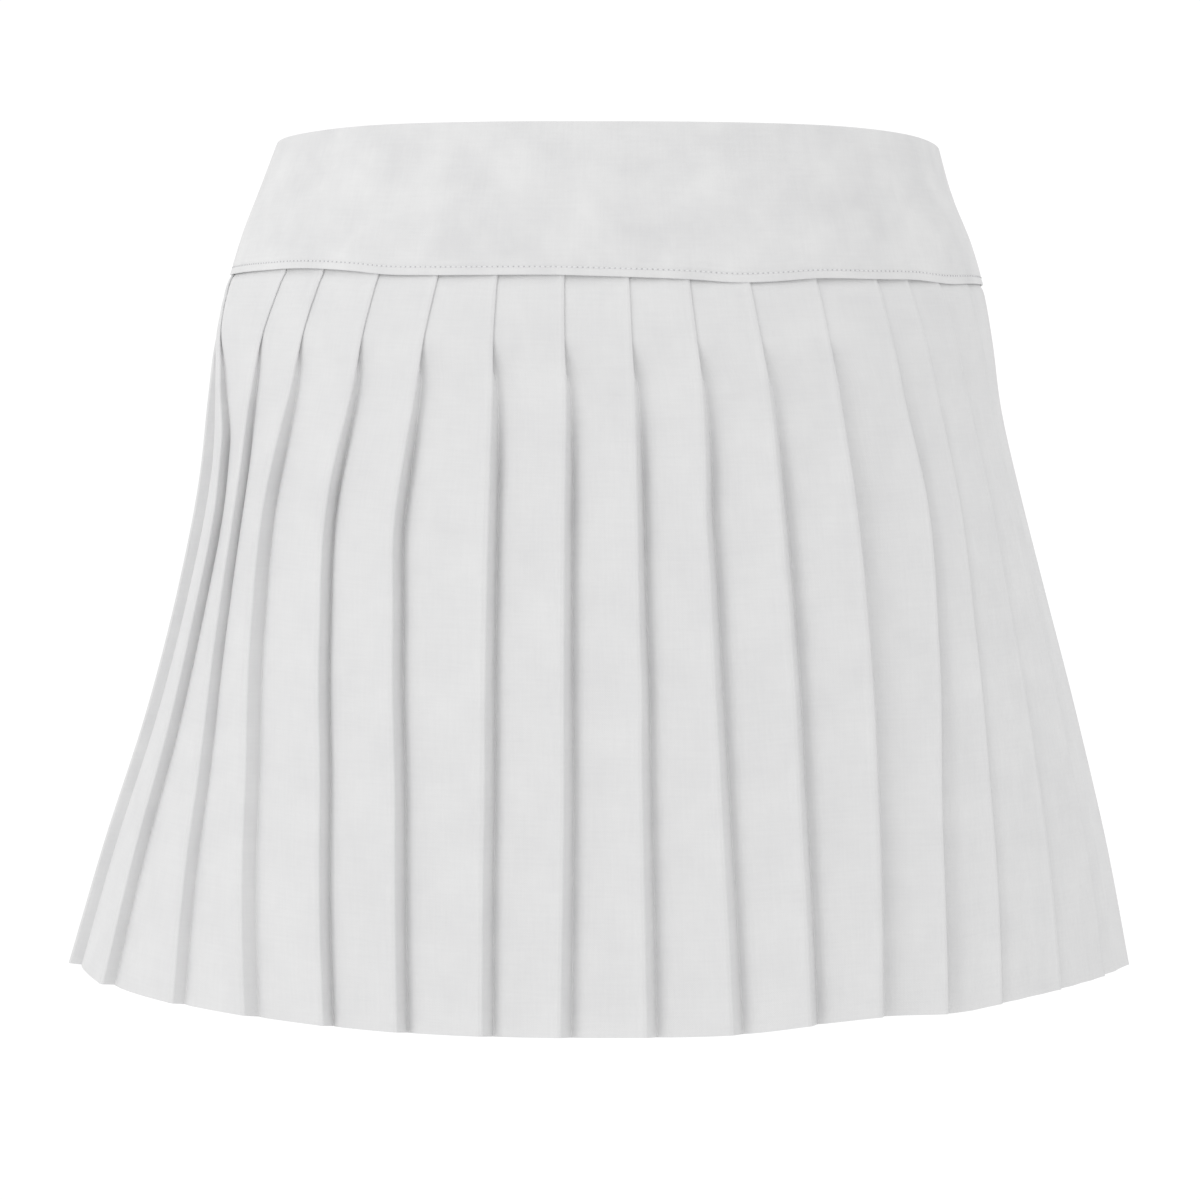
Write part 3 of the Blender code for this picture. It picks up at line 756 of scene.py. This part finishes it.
def weave_group():
    """Plain weave from a flat-cloth chart in metres: threads over and under, and uneven slubs both ways."""
    group, given, out = group_with(
        "weave",
        [("NodeSocketVector", "Chart", None), ("NodeSocketFloat", "Thread Pitch", 0.4 * MM)],
        [("NodeSocketFloat", "Height"), ("NodeSocketFloat", "Tone")],
    )
    split = group.nodes.new("ShaderNodeSeparateXYZ")
    group.links.new(given.outputs["Chart"], split.inputs[0])
    turns = math_node(group, "DIVIDE", math.pi, given.outputs["Thread Pitch"])
    warp = math_node(group, "SINE", math_node(group, "MULTIPLY", split.outputs["X"], turns))
    weft = math_node(group, "SINE", math_node(group, "MULTIPLY", split.outputs["Y"], turns))
    crossing = math_node(group, "MULTIPLY", warp, weft)
    long_slub = noise_node(group, stretched(group, given.outputs["Chart"], 900.0, 60.0), 1.0, 3.0)
    cross_slub = noise_node(group, stretched(group, given.outputs["Chart"], 60.0, 900.0), 1.0, 3.0)
    slub = math_node(group, "ADD", long_slub, cross_slub)
    height = math_node(group, "MULTIPLY_ADD", crossing, 0.35, slub)
    group.links.new(height, out.inputs["Height"])
    tone = math_node(group, "SUBTRACT", slub, 0.5)
    group.links.new(tone, out.inputs["Tone"])
    return group


def cloth_material(name, weave, light, shade, pitch, shade_mottling):
    """White plain weave: two near whites mixed by the weave's tone and by soft patches of painted shade and
    light, a faint nap and a fine bump.
    """
    material, tree, shader = material_with_shader(name)
    chart = tree.nodes.new("ShaderNodeUVMap")
    chart.uv_map = "flat_cloth"
    cloth = tree.nodes.new("ShaderNodeGroup")
    cloth.node_tree = weave
    cloth.inputs["Thread Pitch"].default_value = pitch
    tree.links.new(chart.outputs["UV"], cloth.inputs["Chart"])
    where = tree.nodes.new("ShaderNodeTexCoord")
    # Soft patches of painted shade and light that stand in for the shading of soft creases; each cloth sets
    # their strength
    shade_patches = noise_node(tree, where.outputs["Object"], 52.0, 3.5)
    painted_shade_mottle = math_node(tree, "MULTIPLY_ADD", shade_patches, shade_mottling, 0.25 - 0.5 * shade_mottling)
    blend = math_node(tree, "MULTIPLY_ADD", cloth.outputs["Tone"], 0.5, painted_shade_mottle)
    colour_between(tree, blend, shade, light, shader)
    rough = math_node(tree, "MULTIPLY_ADD", cloth.outputs["Tone"], 0.12, 0.78)
    tree.links.new(rough, shader.inputs["Roughness"])
    bump = tree.nodes.new("ShaderNodeBump")
    bump.inputs["Strength"].default_value = 0.35
    bump.inputs["Distance"].default_value = 0.12 * MM
    tree.links.new(cloth.outputs["Height"], bump.inputs["Height"])
    tree.links.new(bump.outputs["Normal"], shader.inputs["Normal"])
    shader.inputs["Metallic"].default_value = 0.0
    shader.inputs["Specular IOR Level"].default_value = 0.25
    shader.inputs["Sheen Weight"].default_value = 0.12
    shader.inputs["Sheen Roughness"].default_value = 0.5
    return material


def hole_shade_material():
    """Uneven grey painted shade for the small beads that stand for the dark inside of each needle's hole."""
    material, tree, shader = material_with_shader("needle_hole_painted_shade")
    where = tree.nodes.new("ShaderNodeTexCoord")
    spread = noise_node(tree, where.outputs["Object"], 160.0, 2.0)
    colour_between(tree, spread, (0.40, 0.40, 0.41), (0.70, 0.70, 0.71), shader)
    shader.inputs["Roughness"].default_value = 0.95
    return material


def thread_material():
    """Bright white sewing thread, its tone varied finely."""
    material, tree, shader = material_with_shader("white_thread")
    where = tree.nodes.new("ShaderNodeTexCoord")
    fibre = noise_node(tree, where.outputs["Object"], 3000.0, 2.0)
    colour_between(tree, fibre, (0.76, 0.76, 0.77), (0.86, 0.86, 0.86), shader)
    shader.inputs["Roughness"].default_value = 0.55
    return material


# Stage
FLOOR_HEIGHT = -1.35
CAMERA_HEIGHT = -0.1316
CAMERA_DISTANCE = 1.5
CAMERA_ASIDE = -0.0021
AIM_HEIGHT = -0.1926
LENS = 105.98
FLOOR_REACH = 40.0
KEY_PLACE = (-2.3, -2.0, 1.0)
KEY_AIM = (0.0, 0.0, -0.18)
KEY_SIZE = 1.8
KEY_POWER = 14.0


def look_from(place, target):
    """The rotation of a camera or lamp that looks from its place to a target."""
    way = mathutils.Vector(target) - mathutils.Vector(place)
    return way.to_track_quat("-Z", "Y").to_euler()


def stage():
    """A plain pale floor, a white surround, one large soft lamp from the front left, and the camera."""
    material, tree, shader = material_with_shader("pale_floor")
    shader.inputs["Base Color"].default_value = (0.88, 0.88, 0.88, 1.0)
    shader.inputs["Roughness"].default_value = 0.9
    glow = tree.nodes.new("ShaderNodeEmission")
    seen = tree.nodes.new("ShaderNodeLightPath")
    share = math_node(tree, "MULTIPLY", seen.outputs["Is Camera Ray"], 0.8)
    mix = tree.nodes.new("ShaderNodeMixShader")
    tree.links.new(share, mix.inputs["Fac"])
    tree.links.new(shader.outputs[0], mix.inputs[1])
    tree.links.new(glow.outputs[0], mix.inputs[2])
    tree.links.new(mix.outputs[0], tree.nodes["Material Output"].inputs["Surface"])
    glow.inputs["Strength"].default_value = 1.1
    corners = FLOOR_REACH * np.array([(-1, -1), (1, -1), (1, 1), (-1, 1)])
    points = np.hstack([corners, np.full((4, 1), FLOOR_HEIGHT)])
    make_piece("floor", points, [[0, 1, 2, 3]], material)

    world = bpy.data.worlds.new("studio")
    bpy.context.scene.world = world
    world.use_nodes = True
    tree = world.node_tree
    sky = tree.nodes["Background"]
    sky.inputs["Color"].default_value = (1.0, 1.0, 1.0, 1.0)
    sky.inputs["Strength"].default_value = 0.97
    seen = tree.nodes.new("ShaderNodeBackground")
    seen.inputs["Color"].default_value = (1.0, 1.0, 1.0, 1.0)
    seen.inputs["Strength"].default_value = 1.05
    path = tree.nodes.new("ShaderNodeLightPath")
    mix = tree.nodes.new("ShaderNodeMixShader")
    tree.links.new(path.outputs["Is Camera Ray"], mix.inputs["Fac"])
    tree.links.new(sky.outputs[0], mix.inputs[1])
    tree.links.new(seen.outputs[0], mix.inputs[2])
    tree.links.new(mix.outputs[0], tree.nodes["World Output"].inputs["Surface"])

    lamp = bpy.data.lights.new("key", "AREA")
    lamp.size = KEY_SIZE
    lamp.energy = KEY_POWER
    key = bpy.data.objects.new("key", lamp)
    key.location = KEY_PLACE
    key.rotation_euler = look_from(key.location, KEY_AIM)
    bpy.context.scene.collection.objects.link(key)

    lens = bpy.data.cameras.new("camera")
    lens.lens = LENS
    lens.sensor_width = 36.0
    camera = bpy.data.objects.new("camera", lens)
    camera.location = (CAMERA_ASIDE, -CAMERA_DISTANCE, CAMERA_HEIGHT)
    camera.rotation_euler = look_from(camera.location, (CAMERA_ASIDE, 0.0, AIM_HEIGHT))
    bpy.context.scene.collection.objects.link(camera)
    bpy.context.scene.camera = camera
    bpy.context.scene.view_settings.view_transform = "Standard"


def main():
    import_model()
    weave = weave_group()
    # Both cloths carry the patches of painted shade and light, the yoke's twice as strong as the pleats'
    pleat_cloth = cloth_material("white_pleated_weave", weave, WHITE, TONE_AND_SHADE_WHITE, YARN_PITCH, 1.1)
    yoke_cloth = cloth_material("white_yoke_weave", weave, WHITE, TONE_AND_SHADE_WHITE, YARN_PITCH, 2.2)
    thread, shade = thread_material(), hole_shade_material()
    half = PLEATS // 2
    for side, first, start in (("front", FIRST_FRONT_PLEAT, -90.0), ("back", FIRST_FRONT_PLEAT + half, 90.0)):
        pleats = pleated_panel(f"{side}_pleats", first, half, pleat_cloth)
        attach(pleats, "root")
        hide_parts(f"skirt_{side}")
        yoke = yoke_panel(f"{side}_yoke", start, start + 180.0, yoke_cloth)
        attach(yoke, "root")
        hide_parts(f"yoke_{side}")
        row = topstitch(f"{side}_topstitch", start, start + 180.0, STITCH_LENGTH, THREAD, thread)
        # Grey beads of painted shade, one at each end of a stitch, for the dark inside of each needle's hole
        hole_shade_beads = topstitch(f"{side}_needle_hole_painted_shade", start, start + 180.0, HOLE_SHADE_SIZE, HOLE_SHADE_SIZE, shade, offset=0.0)
        for piece in (row, hole_shade_beads):
            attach(piece, "root")
    stage()


main()
